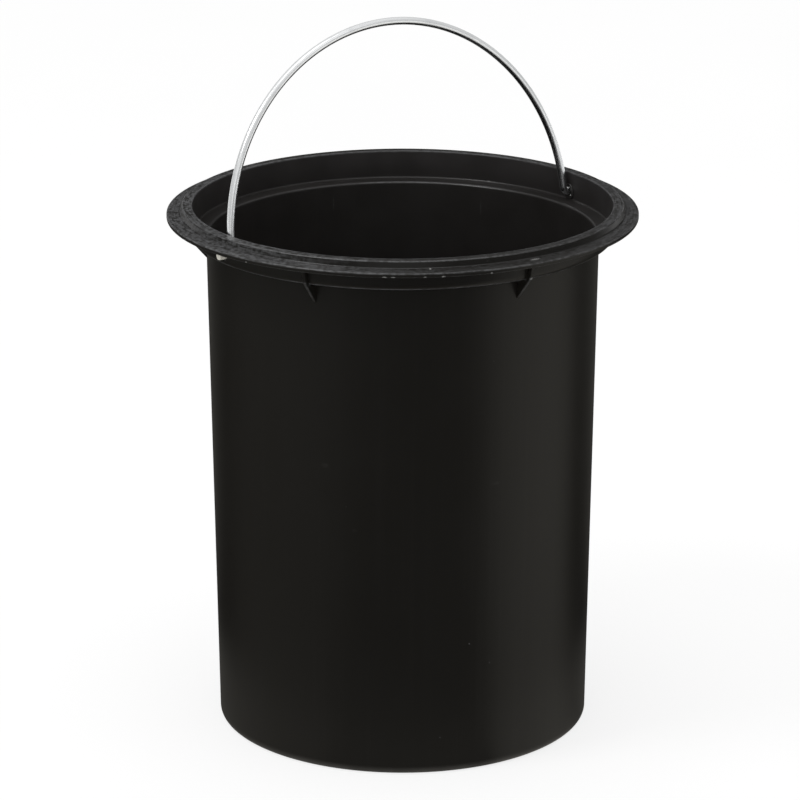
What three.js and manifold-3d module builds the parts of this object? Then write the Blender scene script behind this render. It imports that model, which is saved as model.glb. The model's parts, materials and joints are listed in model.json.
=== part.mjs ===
// Florist bucket: a round moulded tub with a stepped collar, a flange stiffened by gussets, and a
// round wire bail that swings in two holes through the collar. Millimetres, +Z up. The origin is
// the centre of the base, and the bail's swing axis runs along X.
import * as THREE from "three";
import { mergeVertices } from "three/addons/utils/BufferGeometryUtils.js";
import Module from "manifold-3d";

const wasm = await Module();
wasm.setup();

// Tub body
const tubHeight = 309;
const wall = 2.1;
const baseRadius = 108.1;
const bodyTopRadius = 112.8;
const baseCorner = 3;
const footRingInner = 99;
const footRingDepth = 3;
const floorThickness = 2.4;

// Collar: the wide top stretch of the tub, which steps in to the body at a flat ledge.
// Levels are depths below the top of the lip.
const ledgeDepth = 16.6;
const ledgeThickness = 1.9;
const ledgeEdgeRadius = 3.4;
const collarInner = 120.5;
const collarWall = 2;
const collarCornerInner = 2.2;

// Lip and flange
const lipOuter = 126.4;
const lipEdge = 0.6;
const lipFootRadius = 127.6;
const lipFootDepth = 3.8;
const flangeRadius = 135.3;
const flangeEdgeDepth = 4.6;
const flangeEdgeHeight = 2.5;
const flangeEdgeWidth = 1.8;
const flangeUndersideDepth = 6.5;

// Gussets under the flange, evenly spaced, two of them close to midway between the pin holes
const gussetCount = 6;
const gussetStart = THREE.MathUtils.degToRad(29);
const gussetThickness = 1.8;
const gussetTopRadius = 127.4;
const gussetKinkRadius = 125.2;
const gussetKinkDepth = 16.6;
const gussetTipDepth = 31.2;

// Bail and its holes
const pivotDepth = 12;
const wireRadius = 2.25;
const bailRadius = 116.9;
const bailRise = 115.1;
const elbowRadius = 3.5;
const pinEnd = 126.2;
const bailLean = THREE.MathUtils.degToRad(9.8);
const holeRadius = 3.2;
const bossRadius = 4.85;
const bossFace = 119.7;

// Fineness of the round shapes
const tubSides = 84;
const arcSteps = 2;
const roundSides = 20;
const wireSides = 12;
const archSteps = 40;
const elbowSteps = 4;

const pivotHeight = tubHeight - pivotDepth;
const halfTurn = Math.PI;
const quarterTurn = Math.PI / 2;

// A geometry as a solid that can be joined and cut.
function toSolid(geometry) {
  const bare = geometry.clone();
  bare.deleteAttribute("normal");
  bare.deleteAttribute("uv");
  const merged = mergeVertices(bare);
  const corners = merged.index.array;
  const kept = [];
  for (let i = 0; i < corners.length; i += 3) {
    const [a, b, c] = corners.slice(i, i + 3);
    if (a !== b && b !== c && c !== a) kept.push(a, b, c);
  }
  const vertProperties = new Float32Array(merged.attributes.position.array);
  const triVerts = new Uint32Array(kept);
  return new wasm.Manifold(new wasm.Mesh({ numProp: 3, vertProperties, triVerts }));
}

function toGeometry(solid) {
  const mesh = solid.getMesh();
  const geometry = new THREE.BufferGeometry();
  geometry.setAttribute("position", new THREE.BufferAttribute(mesh.vertProperties, 3));
  geometry.setIndex(new THREE.BufferAttribute(mesh.triVerts, 1));
  geometry.computeVertexNormals();
  return geometry;
}

// Section of the tub from the axis out under the base, up the outside, over the lip and down the
// inside: x is the radius and y the height.
function tubSection() {
  const level = (depth) => tubHeight - depth;
  const undersideDepth = ledgeDepth + ledgeThickness;
  const floorTop = footRingDepth + floorThickness;
  const bodyTopInner = bodyTopRadius - wall;
  const baseInner = baseRadius - wall;
  const collarOuter = collarInner + collarWall;
  const collarCornerOuter = collarCornerInner + collarWall;
  const section = new THREE.Path();
  section.moveTo(0, footRingDepth);
  section.lineTo(footRingInner - footRingDepth / 2, footRingDepth);
  section.lineTo(footRingInner, 0);
  section.absarc(baseRadius - baseCorner, baseCorner, baseCorner, -quarterTurn, 0, false);
  section.lineTo(bodyTopRadius, level(undersideDepth));
  section.absarc(
    collarOuter - collarCornerOuter, level(undersideDepth) + collarCornerOuter,
    collarCornerOuter, -quarterTurn, 0, false,
  );
  section.lineTo(collarOuter, level(flangeUndersideDepth));
  section.lineTo(flangeRadius - flangeEdgeWidth, level(flangeUndersideDepth));
  section.lineTo(flangeRadius - flangeEdgeWidth, level(flangeEdgeDepth + flangeEdgeHeight));
  section.lineTo(flangeRadius, level(flangeEdgeDepth + flangeEdgeHeight));
  section.lineTo(flangeRadius, level(flangeEdgeDepth));
  section.lineTo(lipFootRadius, level(lipFootDepth));
  section.lineTo(lipOuter, level(lipEdge));
  section.lineTo(lipOuter - lipEdge, level(0));
  section.lineTo(collarInner + lipEdge, level(0));
  section.lineTo(collarInner, level(lipEdge));
  section.absarc(
    collarInner - collarCornerInner, level(ledgeDepth) + collarCornerInner,
    collarCornerInner, 0, -quarterTurn, true,
  );
  section.absarc(
    bodyTopInner + ledgeEdgeRadius, level(ledgeDepth) - ledgeEdgeRadius,
    ledgeEdgeRadius, quarterTurn, halfTurn, false,
  );
  section.absarc(
    baseInner - baseCorner, floorTop + baseCorner, baseCorner, 0, -quarterTurn, true,
  );
  section.lineTo(0, floorTop);
  return section.getPoints(arcSteps);
}

// A flat rib standing radially in the XZ plane, from inside the walls out to its sloping edge.
function gussetGeometry() {
  const level = (depth) => tubHeight - depth;
  const insideBody = bodyTopRadius - wall / 3;
  const insideLedge = ledgeDepth + ledgeThickness / 2;
  const insideCollar = collarInner + collarWall / 2;
  const insideFlange = flangeUndersideDepth - 0.5;
  const outline = new THREE.Shape();
  outline.moveTo(insideBody, level(gussetTipDepth));
  outline.lineTo(gussetKinkRadius, level(gussetKinkDepth));
  outline.lineTo(gussetTopRadius, level(insideFlange));
  outline.lineTo(insideCollar, level(insideFlange));
  outline.lineTo(insideCollar, level(ledgeDepth - collarCornerInner));
  outline.lineTo(collarInner - collarCornerInner, level(insideLedge));
  outline.lineTo(insideBody + wall / 2, level(insideLedge));
  outline.lineTo(insideBody, level(insideLedge + ledgeEdgeRadius));
  const geometry = new THREE.ExtrudeGeometry(outline, {
    depth: gussetThickness,
    bevelEnabled: false,
  });
  geometry.translate(0, 0, -gussetThickness / 2);
  geometry.rotateX(quarterTurn);
  return geometry;
}

// A round bar along X between two places.
function barAlongX(radius, from, to) {
  const bar = new THREE.CylinderGeometry(radius, radius, to - from, roundSides);
  bar.rotateZ(quarterTurn);
  bar.translate((from + to) / 2, 0, pivotHeight);
  return bar;
}

function tubGeometry() {
  const turned = new THREE.LatheGeometry(tubSection(), tubSides);
  turned.rotateX(quarterTurn);
  let tub = toSolid(turned);
  const gusset = gussetGeometry();
  for (let i = 0; i < gussetCount; i += 1) {
    const turn = gussetStart + (i * 2 * Math.PI) / gussetCount;
    tub = tub.add(toSolid(gusset.clone().rotateZ(turn)));
  }
  const bossRoot = collarInner + collarWall / 2;
  for (const turn of [0, halfTurn]) {
    const boss = barAlongX(bossRadius, bossFace, bossRoot);
    const hole = barAlongX(holeRadius, bailRadius, flangeRadius);
    tub = tub.add(toSolid(boss.rotateZ(turn)));
    tub = tub.subtract(toSolid(hole.rotateZ(turn)));
  }
  return toGeometry(tub);
}

// The wire's centre line about the swing axis: a pin, an elbow, the round arch, an elbow and a pin.
// Each stretch takes as many steps of t as its bend needs.
class BailLine extends THREE.Curve {
  static steps = 2 + 2 * elbowSteps + archSteps;

  getUtoTmapping(u) {
    return u;
  }

  getPoint(t, target = new THREE.Vector3()) {
    const step = t * BailLine.steps;
    const side = step <= BailLine.steps / 2 ? 1 : -1;
    const fromEnd = side > 0 ? step : BailLine.steps - step;
    const archStart = Math.asin(elbowRadius / bailRise);
    const legX = bailRadius * Math.cos(archStart);
    if (fromEnd <= 1) {
      const x = THREE.MathUtils.lerp(pinEnd, legX + elbowRadius, fromEnd);
      return target.set(side * x, 0, 0);
    }
    if (fromEnd <= 1 + elbowSteps) {
      const turn = quarterTurn * (fromEnd - 1) / elbowSteps;
      const x = legX + elbowRadius * (1 - Math.sin(turn));
      return target.set(side * x, 0, elbowRadius * (1 - Math.cos(turn)));
    }
    const along = (fromEnd - 1 - elbowSteps) / (archSteps / 2);
    const turn = THREE.MathUtils.lerp(archStart, quarterTurn, along);
    return target.set(side * bailRadius * Math.cos(turn), 0, bailRise * Math.sin(turn));
  }
}

function bailGeometry() {
  const section = new THREE.Shape();
  section.absarc(0, 0, wireRadius, 0, 2 * Math.PI, false);
  return new THREE.ExtrudeGeometry(section, {
    steps: BailLine.steps,
    curveSegments: wireSides / 2,
    bevelEnabled: false,
    extrudePath: new BailLine(),
  });
}

const plastic = new THREE.MeshStandardMaterial({ color: 0x1c1b1b, roughness: 0.42, metalness: 0 });
const zincWire = new THREE.MeshStandardMaterial({ color: 0xb9bcbf, roughness: 0.3, metalness: 1 });

const bucket = new THREE.Group();

const tub = new THREE.Mesh(tubGeometry(), plastic);
tub.name = "tub";
bucket.add(tub);

const bail = new THREE.Mesh(bailGeometry(), zincWire);
bail.name = "bail";
bail.position.z = pivotHeight;
bail.rotation.x = -bailLean;
bucket.add(bail);

export default bucket;
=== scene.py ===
import json
import math

import bmesh
import bpy
from mathutils import Matrix, Vector


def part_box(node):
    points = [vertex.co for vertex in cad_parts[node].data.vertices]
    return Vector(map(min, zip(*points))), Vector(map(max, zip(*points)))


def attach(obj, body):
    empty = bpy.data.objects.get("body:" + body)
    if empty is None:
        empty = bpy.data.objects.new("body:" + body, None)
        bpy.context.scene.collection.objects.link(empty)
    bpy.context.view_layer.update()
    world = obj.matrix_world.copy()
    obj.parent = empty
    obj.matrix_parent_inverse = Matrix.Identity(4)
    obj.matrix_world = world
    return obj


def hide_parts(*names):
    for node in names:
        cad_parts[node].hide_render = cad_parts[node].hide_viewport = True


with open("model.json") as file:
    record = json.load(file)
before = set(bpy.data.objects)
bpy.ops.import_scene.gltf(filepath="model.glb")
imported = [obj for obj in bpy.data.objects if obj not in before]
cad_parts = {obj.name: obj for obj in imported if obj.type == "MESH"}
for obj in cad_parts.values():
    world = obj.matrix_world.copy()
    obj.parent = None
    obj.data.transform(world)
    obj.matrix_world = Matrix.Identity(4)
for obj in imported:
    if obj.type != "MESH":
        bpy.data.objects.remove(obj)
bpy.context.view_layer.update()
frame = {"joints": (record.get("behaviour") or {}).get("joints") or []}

MM = 0.001
TURN = 2 * math.pi
QUARTER = math.pi / 2

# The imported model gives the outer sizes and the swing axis.
TUB_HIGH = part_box("tub")[1]
LIP_TOP = TUB_HIGH.z
FLANGE_RADIUS = TUB_HIGH.x
PIN_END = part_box("bail")[1].x
SWING = next(j for j in frame["joints"] if j["name"] == "bail_swing")
PIVOT = Vector(SWING["pos_m"])

# Tub body
WALL = 2.1 * MM
BASE_RADIUS = 108.1 * MM
BODY_TOP_RADIUS = 112.8 * MM
FOOT_RING_INNER = 99 * MM
FOOT_RING_DEPTH = 3 * MM
FLOOR_THICKNESS = 2.4 * MM

# Collar, lip and flange, as radii and as depths below the lip
LEDGE_DEPTH = 16.6 * MM
LEDGE_THICKNESS = 1.9 * MM
COLLAR_INNER = 120.5 * MM
COLLAR_WALL = 2 * MM
LIP_OUTER = 126.4 * MM
LIP_FOOT_RADIUS = 127.6 * MM
LIP_FOOT_DEPTH = 3.8 * MM
FLANGE_TOP_DEPTH = 4.6 * MM
FLANGE_BOTTOM_DEPTH = 7.1 * MM
FLANGE_UNDERSIDE_DEPTH = 6.5 * MM
FLANGE_RIM_WIDTH = 1.8 * MM

# Gussets
GUSSET_COUNT = 6
GUSSET_START = math.radians(29)
GUSSET_THICKNESS = 1.8 * MM
GUSSET_TOP_RADIUS = 127.4 * MM
GUSSET_KINK_RADIUS = 125.2 * MM
GUSSET_KINK_DEPTH = 16.6 * MM
GUSSET_TIP_DEPTH = 31.2 * MM

# Bail, its holes and the bosses round them
WIRE_RADIUS = 2.25 * MM
BAIL_HALF_WIDTH = 116.9 * MM
BAIL_RISE = 115.1 * MM
ELBOW_RADIUS = 3.5 * MM
HOLE_RADIUS = 3.2 * MM
BOSS_RADIUS = 4.85 * MM
BOSS_FACE = 119.7 * MM
BAIL_LEAN = math.radians(9.8)
ELBOW_STEPS = 12
ARCH_STEPS = 96

# Camera
CAMERA_DISTANCE = 2.2818
CAMERA_HEIGHT = 0.9113
CAMERA_AZIMUTH = math.radians(-35.5)
CAMERA_PITCH = math.radians(17.544)
CAMERA_YAW = math.radians(0.038)
CAMERA_LENS = 185.08

# Studio: brightness of the surroundings, and how the cloth and cards lie on the floor
WORLD_LIGHT = 0.8
REFLECTED_HORIZON = 0.024
REFLECTED_ZENITH = 0.52
FLOOR_GLOW = 0.75
FLOOR_LOW = (0.27, 0.27, 0.27, 1)
FLOOR_HIGH = (0.29, 0.29, 0.29, 1)
CLOTH_RADIUS = 4.0
CLOTH_GLOW = 0.015
NEAR_GLOW = 0.1
RIGHT_CARD_TURN = 84
RIGHT_CARD_SPREAD = 44
RIGHT_CARD_GLOW = 0.32
RIGHT_CARD_NEAR_GLOW = 0.7 * RIGHT_CARD_GLOW
LEFT_CARD_TURN = -75
LEFT_CARD_SPREAD = 60
LEFT_CARD_GLOW = 0.07
BACK_CARD_TURN = 180
BACK_CARD_SPREAD = 60
BACK_CARD_GLOW = 0.08
CARD_TINT = (1.0, 0.97, 0.88, 1)
MIRROR_TURN = 24
MIRROR_RADIUS = 0.085
TENT_HOLE = 0.15
TENT_RADIUS = 6.0
TENT_GLOW = 0.68
TENT_GAP_TURN = 28
TENT_GAP_SPREAD = 25
TENT_GAP_DEPTH = 0.5

# Plastic: its colours, where it is worn, and where light is painted on
BLACK_LOW = (0.0074, 0.0066, 0.0053, 1)
BLACK_HIGH = (0.0094, 0.0084, 0.0068, 1)
# Dust colour: the faint streaks, and the painted light inside the tub
DUST_AND_INSIDE_LIGHT = (0.05, 0.0465, 0.047, 1)
# Grey of rubbed plastic, also used for the painted edge highlights and the dust specks
RUBBED_GREY_AND_HIGHLIGHT = (0.1, 0.101, 0.104, 1)
SCUFF = (0.3, 0.3, 0.29, 1)
# A lighter band round the bottom corner: its colour, strength and height
BASE_BAND_COLOUR = (0.1, 0.095, 0.087, 1)
BASE_BAND_STRENGTH = 0.5
BASE_BAND_HEIGHT = 5 * MM
# Painted light inside: how much lighter the collar's wall is near the lip, and the body further down
COLLAR_PAINTED_LIGHT = 0.6
BODY_PAINTED_LIGHT = 0.26
WALL_SLOPE = (BODY_TOP_RADIUS - BASE_RADIUS) / LIP_TOP
# Direction of most rubbing on the rim, and of the brightest painted highlights along its edges
WORN_AND_LIT_TURN = -70
RIM_RUB = 1.0
SLOPE_RUB = 0.6
STREAK_SHARE = 0.03
SPECK_SHARE = 0.5
SATIN_ROUGHNESS = (0.27, 0.33)
WORN_ROUGHNESS = 0.12

# Wire: zinc and the duller pins
ZINC_DARK = (0.62, 0.63, 0.64, 1)
ZINC_LIGHT = (0.78, 0.79, 0.79, 1)
ZINC_DULL = (0.5, 0.51, 0.52, 1)
PIN_COLOUR = (0.62, 0.6, 0.53, 1)

# Edges with painted highlight lines, partly real wear: radius, depth below the lip, width of the
# line and its strength
RIM_EDGES = [
    (COLLAR_INNER + 0.4 * MM, 0.2 * MM, 1.2 * MM, 0.95),
    (LIP_OUTER - 0.3 * MM, 0.3 * MM, 0.8 * MM, 0.75),
    (LIP_FOOT_RADIUS + 0.1 * MM, LIP_FOOT_DEPTH, 0.6 * MM, 0.2),
    (FLANGE_RADIUS - 0.1 * MM, FLANGE_TOP_DEPTH + 0.1 * MM, 0.9 * MM, 0.7),
    (FLANGE_RADIUS, FLANGE_BOTTOM_DEPTH, 0.5 * MM, 0.4),
    (COLLAR_INNER + 0.2 * MM, LEDGE_DEPTH + 1.15 * MM, 1.2 * MM, 0.75),
    (GUSSET_KINK_RADIUS, GUSSET_KINK_DEPTH, 1.2 * MM, 0.6),
]
# Painted highlight along the ledge's inner edge, brightest towards the back
LEDGE_EDGES = [(BODY_TOP_RADIUS - WALL + 0.3 * MM, LEDGE_DEPTH + 0.3 * MM, 0.7 * MM, 0.8)]
LEDGE_HIGHLIGHT_TURN = 169
# Strength of the painted highlight along the gussets' sloping edges
GUSSET_EDGE_HIGHLIGHT = 0.35
# Nicks and scuffs: direction in degrees from the camera, radius, depth, length, width, strength
MARKS = [
    (-4.2, FLANGE_RADIUS, FLANGE_BOTTOM_DEPTH - 0.3 * MM, 1.6 * MM, 0.8 * MM, 0.7),
    (-2.2, FLANGE_RADIUS, FLANGE_BOTTOM_DEPTH - 0.3 * MM, 1.8 * MM, 0.6 * MM, 0.5),
    (5.2, FLANGE_RADIUS, FLANGE_BOTTOM_DEPTH - 0.3 * MM, 1.2 * MM, 0.8 * MM, 0.6),
    (9.5, FLANGE_RADIUS, FLANGE_BOTTOM_DEPTH - 0.3 * MM, 1.5 * MM, 0.8 * MM, 0.6),
    (21, FLANGE_RADIUS, FLANGE_BOTTOM_DEPTH - 0.3 * MM, 0.9 * MM, 0.8 * MM, 0.6),
    (6.7, LIP_FOOT_RADIUS + 1.2 * MM, LIP_FOOT_DEPTH + 0.15 * MM, 0.9 * MM, 1.3 * MM, 1.0),
    (34, LIP_FOOT_RADIUS + 2.4 * MM, LIP_FOOT_DEPTH + 0.25 * MM, 4.5 * MM, 1.5 * MM, 0.5),
    (34.5, GUSSET_KINK_RADIUS, GUSSET_KINK_DEPTH, 1.5 * MM, 1.2 * MM, 0.35),
    (-39.5, FLANGE_RADIUS, FLANGE_BOTTOM_DEPTH, 0.7 * MM, 1.2 * MM, 0.6),
    (100, FLANGE_RADIUS - 2 * MM, FLANGE_TOP_DEPTH, 1.2 * MM, 0.9 * MM, 0.6),
    (-23, BODY_TOP_RADIUS - 2 * MM, 125 * MM, 3.0 * MM, 2.0 * MM, 0.02),
    (28, BODY_TOP_RADIUS - 2 * MM, 137 * MM, 4.0 * MM, 1.2 * MM, 0.02),
    (-14, BODY_TOP_RADIUS - 2.6 * MM, 162 * MM, 2.0 * MM, 1.5 * MM, 0.02),
    (-158, BODY_TOP_RADIUS - WALL, 28 * MM, 0.5 * MM, 6.0 * MM, 0.08),
    (155, BODY_TOP_RADIUS - WALL, 30 * MM, 0.5 * MM, 6.0 * MM, 0.08),
]


def make_object(name, mesh):
    piece = bpy.data.objects.new(name, mesh)
    bpy.context.scene.collection.objects.link(piece)
    return piece


def mesh_from(name, shape):
    """A named mesh holding a bmesh, which is freed."""
    mesh = bpy.data.meshes.new(name)
    shape.to_mesh(mesh)
    shape.free()
    return mesh


# ---------------------------------------------------------------- outlines


def rounded(corners, steps=7):
    """An outline in the plane of radius and height, each corner rounded by its third number."""
    places = [Vector(corner[:2]) for corner in corners]
    outline = [places[0]]
    for i in range(1, len(corners) - 1):
        here, radius = places[i], corners[i][2]
        back = (places[i - 1] - here).normalized()
        ahead = (places[i + 1] - here).normalized()
        half_angle = back.angle(ahead) / 2
        centre = here + (back + ahead).normalized() * (radius / math.sin(half_angle))
        cut = radius / math.tan(half_angle)
        start, end = here + back * cut - centre, here + ahead * cut - centre
        sweep = start.angle_signed(end)
        for step in range(steps + 1):
            spoke = start.copy()
            spoke.rotate(Matrix.Rotation(-sweep * step / steps, 2))
            outline.append(centre + spoke)
    outline.append(places[-1])
    return outline


def spaced(outline, longest):
    """The same outline with its long straight runs divided."""
    divided = [outline[0]]
    for start, end in zip(outline, outline[1:]):
        count = max(1, math.ceil((end - start).length / longest))
        divided += [start.lerp(end, step / count) for step in range(1, count + 1)]
    return divided


def tub_outline():
    """From the axis out under the base, up the outside, over the lip and down the inside."""
    ledge_top = LIP_TOP - LEDGE_DEPTH
    step_bottom = ledge_top - LEDGE_THICKNESS
    flange_bottom = LIP_TOP - FLANGE_BOTTOM_DEPTH
    flange_underside = LIP_TOP - FLANGE_UNDERSIDE_DEPTH
    flange_top = LIP_TOP - FLANGE_TOP_DEPTH
    skirt = FLANGE_RADIUS - FLANGE_RIM_WIDTH
    collar_outer = COLLAR_INNER + COLLAR_WALL
    floor_top = FOOT_RING_DEPTH + FLOOR_THICKNESS
    corners = [
        (0, FOOT_RING_DEPTH),
        (FOOT_RING_INNER - 1.5 * MM, FOOT_RING_DEPTH, 1 * MM),
        (FOOT_RING_INNER, 0, 0.8 * MM),
        (BASE_RADIUS, 0, 3 * MM),
        (BODY_TOP_RADIUS, step_bottom, 1 * MM),
        (collar_outer, step_bottom, 4.2 * MM),
        (collar_outer, flange_underside, 1 * MM),
        (skirt, flange_underside, 0.4 * MM),
        (skirt, flange_bottom, 0.25 * MM),
        (FLANGE_RADIUS, flange_bottom, 0.5 * MM),
        (FLANGE_RADIUS, flange_top, 0.6 * MM),
        (LIP_FOOT_RADIUS, LIP_TOP - LIP_FOOT_DEPTH, 0.8 * MM),
        (LIP_OUTER, LIP_TOP, 1 * MM),
        (COLLAR_INNER, LIP_TOP, 0.7 * MM),
        (COLLAR_INNER, ledge_top, 1.2 * MM),
        (BODY_TOP_RADIUS - WALL, ledge_top, 1.6 * MM),
        (BASE_RADIUS - WALL, floor_top, 3 * MM),
        (0, floor_top),
    ]
    return spaced(rounded(corners), 11 * MM)


# ---------------------------------------------------------------- tub


def add_ring(shape, radius, height, sides):
    """A level ring of corners round the axis."""
    ring = []
    for side in range(sides):
        angle = TURN * side / sides
        x, y = radius * math.cos(angle), radius * math.sin(angle)
        ring.append(shape.verts.new((x, y, height)))
    return ring


def join_rings(shape, rings):
    """A wall of four-sided faces from each ring to the next."""
    sides = len(rings[0])
    for lower, upper in zip(rings, rings[1:]):
        for side in range(sides):
            after = (side + 1) % sides
            shape.faces.new((lower[side], lower[after], upper[after], upper[side]))


def lathe(name, outline, sides=256):
    """A closed body turned from an outline that starts and ends on the axis."""
    shape = bmesh.new()
    rings = [add_ring(shape, place.x, place.y, sides) for place in outline[1:-1]]
    join_rings(shape, rings)
    for ring, end in ((rings[0], outline[0]), (rings[-1], outline[-1])):
        middle = shape.verts.new((0, 0, end.y))
        for side in range(sides):
            shape.faces.new((ring[side], ring[(side + 1) % sides], middle))
    bmesh.ops.recalc_face_normals(shape, faces=shape.faces)
    return mesh_from(name, shape)


def gusset_mesh(turn):
    """A flat rib under the flange with softened edges, from inside the walls to its sloping edge."""
    level = lambda depth: LIP_TOP - depth
    in_body = BODY_TOP_RADIUS - WALL / 3
    in_collar = COLLAR_INNER + COLLAR_WALL / 2
    in_flange = FLANGE_UNDERSIDE_DEPTH - 0.7 * MM
    in_ledge = LEDGE_DEPTH + LEDGE_THICKNESS / 2
    corners = [
        (in_body, level(GUSSET_TIP_DEPTH)),
        (GUSSET_KINK_RADIUS, level(GUSSET_KINK_DEPTH)),
        (GUSSET_TOP_RADIUS, level(in_flange)),
        (in_collar, level(in_flange)),
        (in_collar, level(LEDGE_DEPTH - 2.2 * MM)),
        (in_collar - 2.5 * MM, level(in_ledge)),
        (in_body + WALL / 2, level(in_ledge)),
        (in_body, level(in_ledge + 3.4 * MM)),
    ]
    shape = bmesh.new()
    half = GUSSET_THICKNESS / 2
    sides = []
    for offset in (-half, half):
        sides.append([shape.verts.new((radius, offset, height)) for radius, height in corners])
    shape.faces.new(sides[0])
    shape.faces.new(list(reversed(sides[1])))
    for i in range(len(corners)):
        after = (i + 1) % len(corners)
        shape.faces.new((sides[0][after], sides[0][i], sides[1][i], sides[1][after]))
    outer = {tuple(sides[k][i].co) for k in range(2) for i in range(3)}
    soft = [e for e in shape.edges if all(tuple(v.co) in outer for v in e.verts)]
    bmesh.ops.bevel(
        shape, geom=soft, offset=0.35 * MM, segments=3, profile=0.5, affect="EDGES"
    )
    bmesh.ops.recalc_face_normals(shape, faces=shape.faces)
    shape.transform(Matrix.Rotation(turn, 4, "Z"))
    return mesh_from("gusset", shape)


def turned_bar(name, outline, side, sides=48):
    """A solid of revolution about the swing axis: the outline gives (distance out, radius)."""
    shape = bmesh.new()
    rings = []
    for out, radius in outline:
        ring = []
        for k in range(sides):
            angle = TURN * k / sides
            y, z = radius * math.cos(angle), radius * math.sin(angle)
            ring.append(shape.verts.new((side * out, y, PIVOT.z + z)))
        rings.append(ring)
    join_rings(shape, rings)
    shape.faces.new(rings[0])
    shape.faces.new(rings[-1])
    bmesh.ops.recalc_face_normals(shape, faces=shape.faces)
    return mesh_from(name, shape)


def boss_mesh(side):
    """The raised ring round a pin hole on the collar's inner face, with a rounded edge."""
    soft = 0.4 * MM
    outline = [(COLLAR_INNER + COLLAR_WALL / 2, BOSS_RADIUS), (BOSS_FACE + soft, BOSS_RADIUS)]
    for step in range(1, 6):
        angle = QUARTER * step / 5
        out = BOSS_FACE + soft * (1 - math.sin(angle))
        outline.append((out, BOSS_RADIUS - soft * (1 - math.cos(angle))))
    return turned_bar("boss", outline, side)


def hole_mesh(side):
    return turned_bar("hole", [(BAIL_HALF_WIDTH, HOLE_RADIUS), (FLANGE_RADIUS, HOLE_RADIUS)], side)


def combine(piece, tools, operation):
    """Joins the tools to a piece, or cuts them from it, and removes them."""
    group = bpy.data.collections.new("tools")
    for tool in tools:
        group.objects.link(tool)
    cut = piece.modifiers.new("combine", "BOOLEAN")
    cut.operand_type = "COLLECTION"
    cut.collection = group
    cut.operation = operation
    cut.solver = "MANIFOLD"
    depsgraph = bpy.context.evaluated_depsgraph_get()
    piece.data = bpy.data.meshes.new_from_object(piece.evaluated_get(depsgraph))
    piece.modifiers.clear()
    for tool in tools:
        bpy.data.objects.remove(tool)
    bpy.data.collections.remove(group)


def smooth(piece, sharp_degrees):
    """Smooth shading with sharp edges above an angle, and flat areas kept flat."""
    mesh = piece.data
    mesh.shade_smooth()
    mesh.set_sharp_from_angle(angle=math.radians(sharp_degrees))
    weighted = piece.modifiers.new("weighted normals", "WEIGHTED_NORMAL")
    weighted.keep_sharp = True
    weighted.mode = "FACE_AREA"


def make_tub():
    tub = make_object("tub_moulding", lathe("tub_moulding", tub_outline()))
    turns = [GUSSET_START + TURN * i / GUSSET_COUNT for i in range(GUSSET_COUNT)]
    added = [bpy.data.objects.new("gusset", gusset_mesh(turn)) for turn in turns]
    added += [bpy.data.objects.new("boss", boss_mesh(side)) for side in (-1, 1)]
    combine(tub, added, "UNION")
    holes = [bpy.data.objects.new("hole", hole_mesh(side)) for side in (-1, 1)]
    combine(tub, holes, "DIFFERENCE")
    smooth(tub, 34)
    return tub


# ---------------------------------------------------------------- bail


def bail_path():
    """The wire's centre line in the bail's own plane, as (x, up, wire radius): the right half is
    a pin with a softened end, an elbow and half of the arch, and the left half mirrors it."""
    soft = 0.5 * MM
    half = []
    for step in range(5):
        angle = QUARTER * step / 4
        x = PIN_END - soft + soft * math.cos(angle)
        half.append((x, 0.0, WIRE_RADIUS - soft + soft * math.sin(angle)))
    arch_start = math.asin(ELBOW_RADIUS / BAIL_RISE)
    leg = BAIL_HALF_WIDTH * math.cos(arch_start)
    half.append((leg + ELBOW_RADIUS + 0.6 * MM, 0.0, WIRE_RADIUS))
    for step in range(ELBOW_STEPS + 1):
        turn = QUARTER * step / ELBOW_STEPS
        x = leg + ELBOW_RADIUS * (1 - math.sin(turn))
        half.append((x, ELBOW_RADIUS * (1 - math.cos(turn)), WIRE_RADIUS))
    for step in range(1, ARCH_STEPS):
        turn = arch_start + (QUARTER - arch_start) * step / ARCH_STEPS
        x, up = BAIL_HALF_WIDTH * math.cos(turn), BAIL_RISE * math.sin(turn)
        half.append((x, up, WIRE_RADIUS))
    left = [(-x, up, radius) for x, up, radius in reversed(half)]
    return half + [(0.0, BAIL_RISE, WIRE_RADIUS)] + left


def make_bail(sides=32):
    """A round wire swept along the bail's line, with map coordinates along and round it."""
    points = bail_path()
    shape = bmesh.new()
    layer = shape.loops.layers.uv.new("wire")
    rings, along = [], [0.0]
    lean = Matrix.Rotation(-BAIL_LEAN, 3, "X")
    for i, (x, up, radius) in enumerate(points):
        before, after = points[max(i - 1, 0)], points[min(i + 1, len(points) - 1)]
        run = Vector((after[0] - before[0], 0, after[1] - before[1])).normalized()
        across = Vector((0, 1, 0))
        other = run.cross(across)
        if i:
            along.append(along[-1] + math.dist(points[i][:2], points[i - 1][:2]))
        ring = []
        for k in range(sides):
            angle = TURN * k / sides
            offset = (across * math.cos(angle) + other * math.sin(angle)) * radius
            ring.append(shape.verts.new(lean @ (Vector((x, 0, up)) + offset) + PIVOT))
        rings.append(ring)
    for i in range(len(rings) - 1):
        for k in range(sides):
            after = (k + 1) % sides
            face = shape.faces.new(
                (rings[i][k], rings[i][after], rings[i + 1][after], rings[i + 1][k])
            )
            spots = ((i, k), (i, k + 1), (i + 1, k + 1), (i + 1, k))
            for loop, (row, column) in zip(face.loops, spots):
                loop[layer].uv = (along[row], column / sides)
    for ring in (rings[0], rings[-1]):
        shape.faces.new(ring)
    bmesh.ops.recalc_face_normals(shape, faces=shape.faces)
    bail = make_object("bail_wire", mesh_from("bail_wire", shape))
    bail.data.shade_smooth()
    bail.data.set_sharp_from_angle(angle=math.radians(50))
    return bail


# ---------------------------------------------------------------- materials


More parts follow.
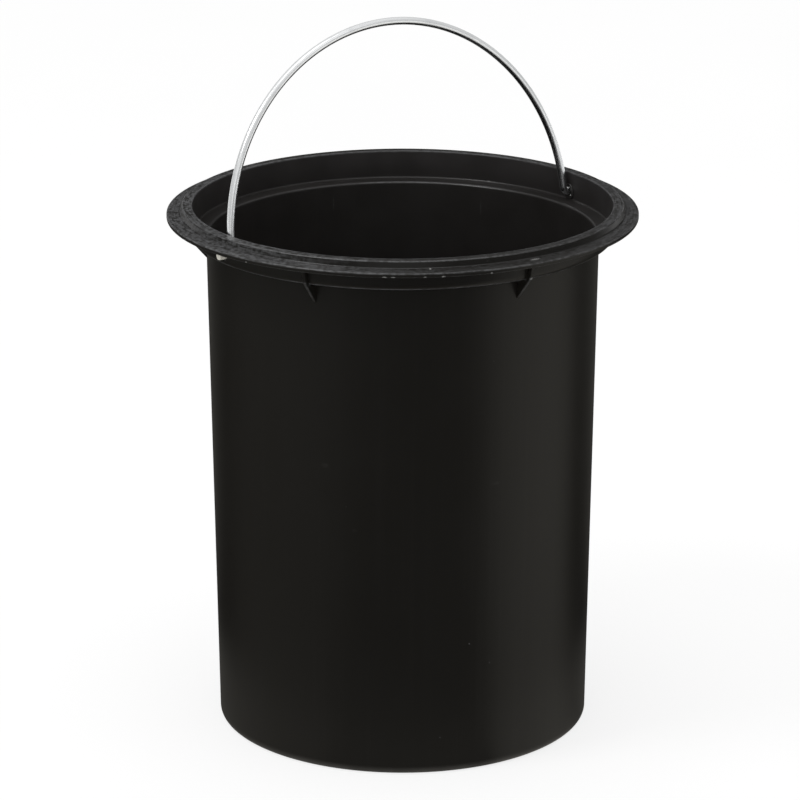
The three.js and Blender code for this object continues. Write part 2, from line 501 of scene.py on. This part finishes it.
class Graph:
    """The node tree of one material, with short ways to add and join nodes."""

    def __init__(self, name):
        self.material = bpy.data.materials.new(name)
        self.material.use_nodes = True
        self.tree = self.material.node_tree
        self.tree.nodes.clear()

    def add(self, kind, out=0, settings=None, **values):
        """Adds a node, sets or joins its inputs by name, and returns one of its outputs."""
        node = self.tree.nodes.new("ShaderNode" + kind)
        for key, value in (settings or {}).items():
            setattr(node, key, value)
        for key, value in values.items():
            self.put(node.inputs[key.replace("_", " ")], value)
        return node.outputs[out] if node.outputs else None

    def put(self, socket, value):
        if isinstance(value, bpy.types.NodeSocket):
            self.tree.links.new(value, socket)
        else:
            socket.default_value = value

    def math(self, operation, *values, clamp=False):
        node = self.tree.nodes.new("ShaderNodeMath")
        node.operation = operation
        node.use_clamp = clamp
        for socket, value in zip(node.inputs, values):
            self.put(socket, value)
        return node.outputs[0]

    def ramp(self, value, low, high, to_low=0.0, to_high=1.0):
        """value from low to high becomes to_low to to_high, smoothly and no further."""
        node = self.tree.nodes.new("ShaderNodeMapRange")
        node.interpolation_type = "SMOOTHSTEP"
        for socket, number in zip(node.inputs, (value, low, high, to_low, to_high)):
            self.put(socket, number)
        return node.outputs[0]

    def vector(self, operation, first, second=None, scale=None):
        """Vector arithmetic: the result is a number for a length or a dot product."""
        node = self.tree.nodes.new("ShaderNodeVectorMath")
        node.operation = operation
        self.put(node.inputs[0], first)
        if second is not None:
            self.put(node.inputs[1], second)
        if scale is not None:
            self.put(node.inputs["Scale"], scale)
        return node.outputs[1 if operation in ("LENGTH", "DOT_PRODUCT") else 0]

    def noise(self, vector, scale, detail=2.0, roughness=0.5, w=None):
        settings = {"noise_dimensions": "3D" if w is None else "4D"}
        values = {"Vector": vector, "Scale": scale, "Detail": detail, "Roughness": roughness}
        if w is not None:
            values["W"] = w
        return self.add("TexNoise", settings=settings, **values)

    def blend(self, share, first, second):
        """A colour between two colours."""
        node = self.tree.nodes.new("ShaderNodeMix")
        node.data_type = "RGBA"
        self.put(node.inputs["Factor"], share)
        self.put(node.inputs[6], first)
        self.put(node.inputs[7], second)
        return node.outputs[2]


def polar(g, place):
    """A place split into its radius, its height and its direction round the axis."""
    split = g.add("SeparateXYZ", Vector=place)
    x, y, z = split.node.outputs
    radius = g.math("SQRT", g.math("ADD", g.math("MULTIPLY", x, x), g.math("MULTIPLY", y, y)))
    flat = g.add("CombineXYZ", X=x, Y=y)
    return radius, z, g.vector("NORMALIZE", flat)


def near_edges(g, edges, radius, depth):
    """The strength of each edge along it, falling to 0 within a fraction of a millimetre."""
    worn = 0.0
    for edge_radius, edge_depth, width, strength in edges:
        across = g.math("SUBTRACT", radius, edge_radius)
        up = g.math("SUBTRACT", depth, edge_depth)
        squares = g.math("ADD", g.math("MULTIPLY", across, across), g.math("MULTIPLY", up, up))
        near = g.ramp(g.math("SQRT", squares), width * 0.4, width, strength, 0.0)
        worn = g.math("MAXIMUM", worn, near)
    return worn


def near_gusset_slopes(g, radius, depth):
    """1 along the sloping edges of the gussets below their kinks, the only parts out there."""
    run = Vector((BODY_TOP_RADIUS - GUSSET_KINK_RADIUS, GUSSET_TIP_DEPTH - GUSSET_KINK_DEPTH))
    out = Vector((run.y, -run.x)).normalized()
    across = g.math("MULTIPLY", g.math("SUBTRACT", radius, GUSSET_KINK_RADIUS), out.x)
    off = g.math("MULTIPLY_ADD", g.math("SUBTRACT", depth, GUSSET_KINK_DEPTH), out.y, across)
    near = g.ramp(g.math("ABSOLUTE", off), 0.2 * MM, 0.7 * MM, 1.0, 0.0)
    clear = g.ramp(radius, BODY_TOP_RADIUS + 0.3 * MM, BODY_TOP_RADIUS + 0.8 * MM)
    below = g.ramp(depth, GUSSET_KINK_DEPTH - 0.5 * MM, GUSSET_KINK_DEPTH)
    return g.math("MULTIPLY", near, g.math("MULTIPLY", clear, below))


def marks(g, place):
    """The few separate nicks and scuffs, each an oval patch at its own place."""
    marked = 0.0
    for degrees, reach, depth, length, width, strength in MARKS:
        centre = around(degrees, reach, LIP_TOP - depth)
        away = g.vector("SUBTRACT", place, centre)
        turn = CAMERA_AZIMUTH + math.radians(degrees)
        turned = g.add(
            "VectorRotate", settings={"rotation_type": "Z_AXIS"}, Vector=away, Angle=-turn
        )
        shape = g.vector("MULTIPLY", turned, (1 / length, 1 / width, 1 / width))
        oval = g.ramp(g.vector("LENGTH", shape), 0.3, 1.0, strength, 0.0)
        marked = g.math("MAXIMUM", marked, oval)
    return marked


class Places:
    """Where a point of the plastic lies on the tub, and the grain that its wear follows."""

    def __init__(self, g):
        self.place = g.add("TexCoord", out=3)
        self.radius, self.height, self.way = polar(g, self.place)
        self.depth = g.math("SUBTRACT", LIP_TOP, self.height)
        middle = g.math("MULTIPLY_ADD", self.height, WALL_SLOPE, BASE_RADIUS - WALL / 2)
        self.outside_wall = g.math("SUBTRACT", self.radius, middle)
        self.sweep = self.grain_round(g, 14.0, 2200.0)
        self.speckle = g.noise(self.place, 420.0, detail=3.0)
        half_sweep = g.math("MULTIPLY", self.sweep, 0.5)
        half_speckle = g.math("MULTIPLY", self.speckle, 0.5)
        self.mottled = g.math("ADD", half_sweep, half_speckle)

    def grain_round(self, g, around_count, up_scale):
        """Noise stretched round the axis or along it, without a seam."""
        split = g.add("SeparateXYZ", Vector=g.vector("SCALE", self.way, scale=around_count))
        rise = g.math("MULTIPLY", self.height, up_scale)
        place = g.add("CombineXYZ", X=split.node.outputs[0], Y=split.node.outputs[1], Z=rise)
        return g.noise(place, 1.0, 3.0, w=g.math("MULTIPLY", self.radius, up_scale))

    def towards(self, g, degrees):
        """1 on the side of the tub at a direction, 0 a quarter turn off and -1 opposite."""
        return g.vector("DOT_PRODUCT", self.way, around(degrees, 1, 0))


def painted_inside_light(g, at):
    """How much painted light the inside gets, and how much rougher it is: most on the collar's wall
    near the lip, and less further down the body, where less light falls.
    """
    on_collar = g.ramp(at.radius, COLLAR_INNER + 0.4 * MM, COLLAR_INNER + 0.8 * MM, 1.0, 0.0)
    above_ledge = g.ramp(at.depth, LEDGE_DEPTH + 0.4 * MM, LEDGE_DEPTH + 0.8 * MM, 1.0, 0.0)
    in_body = g.ramp(at.outside_wall, -0.4 * MM, 0.4 * MM, 1.0, 0.0)
    inside = g.math("MAXIMUM", in_body, g.math("MULTIPLY", on_collar, above_ledge))
    collar_fade = g.ramp(at.depth, 0.0, 20 * MM, COLLAR_PAINTED_LIGHT, BODY_PAINTED_LIGHT)
    deep_fade = g.ramp(at.depth, 20 * MM, 150 * MM, 1.0, 0.35)
    return g.math("MULTIPLY", g.math("MULTIPLY", inside, collar_fade), deep_fade)


def on_rim(g, at, facing):
    """1 on the level tops of the lip and the flange, and less on the slope between them."""
    lip_top = g.math(
        "MULTIPLY",
        g.ramp(at.depth, 0.3 * MM, 0.7 * MM, 1.0, 0.0),
        g.ramp(at.radius, COLLAR_INNER, COLLAR_INNER + 0.4 * MM),
    )
    flange_top = g.math(
        "MULTIPLY",
        g.ramp(at.depth, FLANGE_TOP_DEPTH + 0.4 * MM, FLANGE_TOP_DEPTH + 0.8 * MM, 1.0, 0.0),
        g.ramp(at.radius, LIP_FOOT_RADIUS + 0.2 * MM, LIP_FOOT_RADIUS + 0.8 * MM),
    )
    slope = g.math(
        "MULTIPLY",
        g.ramp(at.radius, LIP_OUTER - 0.4 * MM, LIP_OUTER, 0.0, SLOPE_RUB),
        g.ramp(at.depth, LIP_FOOT_DEPTH - 0.2 * MM, LIP_FOOT_DEPTH + 0.4 * MM, 1.0, 0.0),
    )
    slope = g.math("MULTIPLY", slope, g.ramp(facing, 0.4, 0.9))
    return g.math("MAXIMUM", slope, g.math("ADD", lip_top, flange_top))


def rubbing(g, at):
    """How far the rim is greyed by rubbing, in streaks, and most towards the bail's two ends."""
    facing = at.towards(g, WORN_AND_LIT_TURN)
    near_side = g.ramp(facing, 0.1, 0.95, 0.25, 1.0)
    side = g.math("MAXIMUM", near_side, g.ramp(facing, -0.2, -0.9, 0.25, 0.7))
    place = g.math("MULTIPLY", on_rim(g, at, facing), side)
    return g.math("MULTIPLY", g.ramp(at.mottled, 0.41, 0.59), place)


def edge_highlights_and_wear(g, at):
    """Painted highlight lines along the edges, partly real wear, brighter on the side the light
    falls from, and broken up by the grain.
    """
    rim = near_edges(g, RIM_EDGES, at.radius, at.depth)
    # Painted highlight: the rim's edge lines are brighter on the side the light falls from
    rim = g.math("MULTIPLY", rim, g.ramp(at.towards(g, WORN_AND_LIT_TURN), -0.9, 0.9, 0.4, 1.0))
    ledge = near_edges(g, LEDGE_EDGES, at.radius, at.depth)
    # Painted highlight: the ledge line is brightest towards the back
    ledge = g.math("MULTIPLY", ledge, g.ramp(at.towards(g, LEDGE_HIGHLIGHT_TURN), 0.85, 1.0, 0.2, 1.0))
    slopes = g.math("MULTIPLY", near_gusset_slopes(g, at.radius, at.depth), GUSSET_EDGE_HIGHLIGHT)
    edges = g.math("MAXIMUM", slopes, g.math("MAXIMUM", rim, ledge))
    return g.math("MULTIPLY", edges, g.ramp(at.mottled, 0.42, 0.58, 0.35, 1.0))


def lighter_base_band(g, at):
    """A lighter band round the corner that the bucket stands on, strongest at the bottom."""
    low = g.ramp(at.height, 0.3 * MM, BASE_BAND_HEIGHT, BASE_BAND_STRENGTH, 0.0)
    uneven = g.ramp(g.noise(at.place, 60.0), 0.3, 0.7, 0.75, 1.1)
    outside = g.ramp(at.outside_wall, -0.4 * MM, 0.4 * MM)
    return g.math("MULTIPLY", g.math("MULTIPLY", low, uneven), outside)


def dust_specks(g, place):
    """A few small round specks, one in some of the cells."""
    cells = g.add("TexVoronoi", Vector=place, Scale=70.0)
    chosen = g.ramp(g.add("SeparateXYZ", Vector=cells.node.outputs["Color"]), 0.8, 0.84)
    return g.math("MULTIPLY", g.ramp(cells, 0.02, 0.035, 1.0, 0.0), chosen)


def plastic_material():
    """Satin black polypropylene: greyed and streaky on the rim, with painted highlights along its
    edges that are partly real wear, rougher inside with painted light that fades deeper down, a
    lighter band at the base, and faint upright streaks and specks of dust down the body."""
    g = Graph("black_polypropylene")
    at = Places(g)
    cloud = g.noise(at.place, 14.0, detail=4.0)
    colour = g.blend(cloud, BLACK_LOW, BLACK_HIGH)
    streaks = g.ramp(at.grain_round(g, 55.0, 5.0), 0.5, 0.75, 0.0, STREAK_SHARE)
    colour = g.blend(streaks, colour, DUST_AND_INSIDE_LIGHT)

    # Painted light inside: lighter near the lip, fading deeper down where less light falls
    inside_light = painted_inside_light(g, at)
    patchy = g.ramp(g.noise(at.place, 45.0, detail=4.0), 0.3, 0.7, 0.75, 1.1)
    colour = g.blend(g.math("MULTIPLY", inside_light, patchy, clamp=True), colour, DUST_AND_INSIDE_LIGHT)

    rubbed = rubbing(g, at)
    colour = g.blend(g.math("MULTIPLY", rubbed, RIM_RUB), colour, RUBBED_GREY_AND_HIGHLIGHT)
    # Painted highlights along the edges, partly real wear
    colour = g.blend(edge_highlights_and_wear(g, at), colour, RUBBED_GREY_AND_HIGHLIGHT)
    # A lighter band round the bottom corner
    colour = g.blend(lighter_base_band(g, at), colour, BASE_BAND_COLOUR)
    rough_marks = g.ramp(at.speckle, 0.35, 0.55, 0.5, 1.0)
    colour = g.blend(g.math("MULTIPLY", marks(g, at.place), rough_marks), colour, SCUFF)
    specks = g.math("MULTIPLY", dust_specks(g, at.place), SPECK_SHARE)
    colour = g.blend(specks, colour, RUBBED_GREY_AND_HIGHLIGHT)

    grain = g.noise(at.place, 1100.0, detail=3.0)
    scratches = g.math("MULTIPLY", at.sweep, g.math("MULTIPLY", rubbed, 2.0))
    lumps = g.math("ADD", grain, scratches)
    bump = g.add("Bump", Strength=0.1, Distance=0.05 * MM, Height=lumps)
    rough = g.ramp(cloud, 0.2, 0.8, *SATIN_ROUGHNESS)
    duller = g.math("MULTIPLY", g.math("MAXIMUM", rubbed, inside_light), WORN_ROUGHNESS)
    rough = g.math("ADD", rough, duller)
    shader = g.add("BsdfPrincipled", Base_Color=colour, Roughness=rough, Normal=bump)
    g.put(shader.node.inputs["Specular IOR Level"], 0.5)
    g.add("OutputMaterial", Surface=shader)
    return g.material


def wire_material():
    """Drawn and galvanised steel wire: fine lines along it, dull grey patches of zinc, and rougher,
    yellower pins."""
    g = Graph("galvanised_wire")
    along = g.add("TexCoord", out=2)
    lines = g.noise(g.vector("MULTIPLY", along, (30.0, 110.0, 1.0)), 1.0, detail=3.0)
    place = g.add("TexCoord", out=3)
    patches = g.noise(place, 90.0, detail=4.0)
    colour = g.blend(g.ramp(lines, 0.3, 0.7), ZINC_DARK, ZINC_LIGHT)
    colour = g.blend(g.ramp(patches, 0.5, 0.75, 0.0, 0.5), colour, ZINC_DULL)
    rough = g.ramp(lines, 0.3, 0.7, 0.17, 0.27)
    rough = g.math("ADD", rough, g.ramp(patches, 0.5, 0.75, 0.0, 0.1))
    out = g.math("ABSOLUTE", g.add("SeparateXYZ", Vector=place))
    pin = g.ramp(out, BOSS_FACE + 1 * MM, BOSS_FACE + 2 * MM)
    colour = g.blend(pin, colour, PIN_COLOUR)
    rough = g.math("MULTIPLY_ADD", pin, 0.3, rough)
    metal = g.math("MULTIPLY_ADD", pin, -0.7, 1.0)
    bump = g.add("Bump", Strength=0.15, Distance=0.05 * MM, Height=lines)
    shader = g.add(
        "BsdfPrincipled", Base_Color=colour, Roughness=rough, Metallic=metal, Normal=bump
    )
    g.add("OutputMaterial", Surface=shader)
    return g.material


def floor_material():
    """White, and partly a light box, so the bucket's soft shadow stays faint."""
    g = Graph("pale_floor")
    place = g.add("TexCoord", out=3)
    cloud = g.noise(place, 3.0, detail=2.0)
    colour = g.blend(cloud, FLOOR_LOW, FLOOR_HIGH)
    shader = g.add(
        "BsdfPrincipled", Base_Color=colour, Roughness=0.9, Emission_Strength=FLOOR_GLOW
    )
    g.put(shader.node.inputs["Emission Color"], (1, 1, 1, 1))
    g.put(shader.node.inputs["Specular IOR Level"], 0.0)
    g.add("OutputMaterial", Surface=shader)
    return g.material


def wedge(g, place, degrees, half_width):
    """1 towards one side, as seen from the wall that mirrors it, and 0 at half_width off."""
    turn = math.copysign(MIRROR_TURN, degrees)
    wall = around(turn, MIRROR_RADIUS, 0) if abs(degrees) < 90 else Vector()
    way = g.vector("NORMALIZE", g.vector("SUBTRACT", place, wall))
    facing = g.vector("DOT_PRODUCT", way, around(degrees, 1, 0))
    return g.ramp(facing, math.cos(math.radians(half_width)), 1)


def cards_material():
    """Black cloth with a bright card to the right, dim ones to the left and behind, all softly
    edged, and a little light close to the bucket."""
    g = Graph("black_cloth_and_cards")
    place = g.add("TexCoord", out=3)
    right = wedge(g, place, RIGHT_CARD_TURN, RIGHT_CARD_SPREAD)
    away = g.vector("LENGTH", place)
    right_fade = g.ramp(away, 0.1, 0.55, RIGHT_CARD_NEAR_GLOW, RIGHT_CARD_GLOW)
    right = g.math("MULTIPLY", right, right_fade)
    left = wedge(g, place, LEFT_CARD_TURN, LEFT_CARD_SPREAD)
    left = g.math("MULTIPLY", left, LEFT_CARD_GLOW)
    back = wedge(g, place, BACK_CARD_TURN, BACK_CARD_SPREAD)
    back = g.math("MULTIPLY", back, BACK_CARD_GLOW)
    near = g.ramp(away, 0.14, 0.24, NEAR_GLOW, CLOTH_GLOW)
    glow = g.math("ADD", g.math("ADD", right, left), g.math("ADD", back, near))
    g.add("OutputMaterial", Surface=g.add("Emission", Color=CARD_TINT, Strength=glow))
    return g.material


def tent_material():
    """A white tent that lets light through, with a darker gap beside the camera."""
    g = Graph("white_tent")
    place = g.add("TexCoord", out=3)
    gap = g.math("MULTIPLY", wedge(g, place, TENT_GAP_TURN, TENT_GAP_SPREAD), TENT_GAP_DEPTH)
    glow = g.add("Emission", Strength=g.math("SUBTRACT", TENT_GLOW, gap))
    clear = g.add("BsdfTransparent")
    both = g.add("AddShader")
    g.put(both.node.inputs[0], glow)
    g.put(both.node.inputs[1], clear)
    g.add("OutputMaterial", Surface=both)
    return g.material


# ---------------------------------------------------------------- studio


TOWARDS_CAMERA = Vector((math.sin(CAMERA_AZIMUTH), -math.cos(CAMERA_AZIMUTH), 0))
CAMERA_RIGHT = Vector((math.cos(CAMERA_AZIMUTH), math.sin(CAMERA_AZIMUTH), 0))


def around(degrees, distance, height):
    """A place round the bucket: 0 degrees is towards the camera and 90 to its right."""
    angle = math.radians(degrees)
    out = TOWARDS_CAMERA * math.cos(angle) + CAMERA_RIGHT * math.sin(angle)
    return out * distance + Vector((0, 0, height))


def make_camera():
    data = bpy.data.cameras.new("camera")
    data.lens = CAMERA_LENS
    data.sensor_width = 36
    data.clip_end = 100
    camera = make_object("camera", data)
    camera.location = around(0, CAMERA_DISTANCE, CAMERA_HEIGHT)
    tilt = math.pi / 2 - CAMERA_PITCH
    camera.rotation_euler = (tilt, 0, CAMERA_AZIMUTH + CAMERA_YAW)
    bpy.context.scene.camera = camera


def softbox(name, place, aim, width, height, radiance, colour=(1, 1, 1)):
    """A rectangular light of a given brightness, wherever it stands."""
    data = bpy.data.lights.new(name, "AREA")
    data.shape = "RECTANGLE"
    data.size, data.size_y = width, height
    data.energy = radiance * math.pi * width * height
    data.color = colour
    light = make_object(name, data)
    light.location = place
    light.rotation_euler = (aim - place).to_track_quat("-Z", "Y").to_euler()
    return light


def disc(name, radius):
    shape = bmesh.new()
    bmesh.ops.create_circle(shape, cap_ends=True, segments=128, radius=radius)
    return make_object(name, mesh_from(name, shape))


def make_floor():
    """A white floor, and over it black cloth and cards that show in reflections alone."""
    floor = disc("floor", 30)
    floor.data.materials.append(floor_material())
    cards = disc("cloth_and_cards", CLOTH_RADIUS)
    cards.location.z = 0.5 * MM
    cards.data.materials.append(cards_material())
    cards.visible_camera = False
    cards.visible_diffuse = False
    cards.visible_shadow = False


def make_tent(wire):
    """A tent round the set that is seen only in the wire's reflections."""
    outline = [Vector((TENT_HOLE, 1 * MM)), Vector((TENT_RADIUS, 1 * MM))]
    for step in range(1, 9):
        turn = QUARTER * step / 9
        outline.append(Vector((TENT_RADIUS * math.cos(turn), TENT_RADIUS * math.sin(turn))))
    shape = bmesh.new()
    rings = [add_ring(shape, place.x, place.y, 64) for place in outline]
    join_rings(shape, rings)
    shape.faces.new(rings[-1])
    tent = make_object("tent", mesh_from("tent", shape))
    tent.data.materials.append(tent_material())
    tent.visible_camera = False
    tent.visible_diffuse = False
    tent.visible_transmission = False
    tent.visible_shadow = False
    receivers = bpy.data.collections.new("lit_by_tent")
    receivers.objects.link(wire)
    tent.light_linking.receiver_collection = receivers


def make_world():
    """White to the camera and bright as soft light; in reflections dim, brighter further up."""
    world = bpy.data.worlds.new("studio")
    world.use_nodes = True
    tree = world.node_tree
    tree.nodes.clear()
    direction = tree.nodes.new("ShaderNodeTexCoord")
    split = tree.nodes.new("ShaderNodeSeparateXYZ")
    tree.links.new(direction.outputs["Generated"], split.inputs[0])
    rise = tree.nodes.new("ShaderNodeMath")
    rise.operation = "MULTIPLY"
    tree.links.new(split.outputs["Z"], rise.inputs[0])
    tree.links.new(split.outputs["Z"], rise.inputs[1])
    reflected = tree.nodes.new("ShaderNodeMapRange")
    tree.links.new(rise.outputs[0], reflected.inputs["Value"])
    reflected.inputs["To Min"].default_value = REFLECTED_HORIZON
    reflected.inputs["To Max"].default_value = REFLECTED_ZENITH
    rays = tree.nodes.new("ShaderNodeLightPath")
    lighting = tree.nodes.new("ShaderNodeMix")
    tree.links.new(rays.outputs["Is Glossy Ray"], lighting.inputs["Factor"])
    lighting.inputs[2].default_value = WORLD_LIGHT
    tree.links.new(reflected.outputs[0], lighting.inputs[3])
    strength = tree.nodes.new("ShaderNodeMix")
    tree.links.new(rays.outputs["Is Camera Ray"], strength.inputs["Factor"])
    tree.links.new(lighting.outputs[0], strength.inputs[2])
    strength.inputs[3].default_value = 1.0
    background = tree.nodes.new("ShaderNodeBackground")
    background.inputs["Color"].default_value = (1, 1, 1, 1)
    tree.links.new(strength.outputs[0], background.inputs["Strength"])
    output = tree.nodes.new("ShaderNodeOutputWorld")
    tree.links.new(background.outputs[0], output.inputs["Surface"])
    bpy.context.scene.world = world


def make_lights():
    rim = Vector((0, 0, LIP_TOP))
    softbox("left_top", around(-60, 1.1, 1.7), rim, 0.5, 0.5, 9.0)
    softbox("overhead", around(0, 0.2, 2.4), rim, 0.9, 0.9, 1.4)
    softbox("right_top", around(60, 1.4, 1.5), rim, 0.6, 0.6, 0.5)
    softbox("front_fill", around(0, 3.2, 1.75), rim, 2.0, 0.8, 0.4)


def make_studio():
    make_camera()
    make_floor()
    make_world()
    make_lights()
    bpy.context.scene.view_settings.view_transform = "Standard"


# ---------------------------------------------------------------- assembly

make_studio()

tub = make_tub()
tub.data.materials.clear()
tub.data.materials.append(plastic_material())
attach(tub, "bucket_body")
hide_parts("tub")

bail = make_bail()
bail.data.materials.append(wire_material())
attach(bail, "bail_body")
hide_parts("bail")
make_tent(bail)
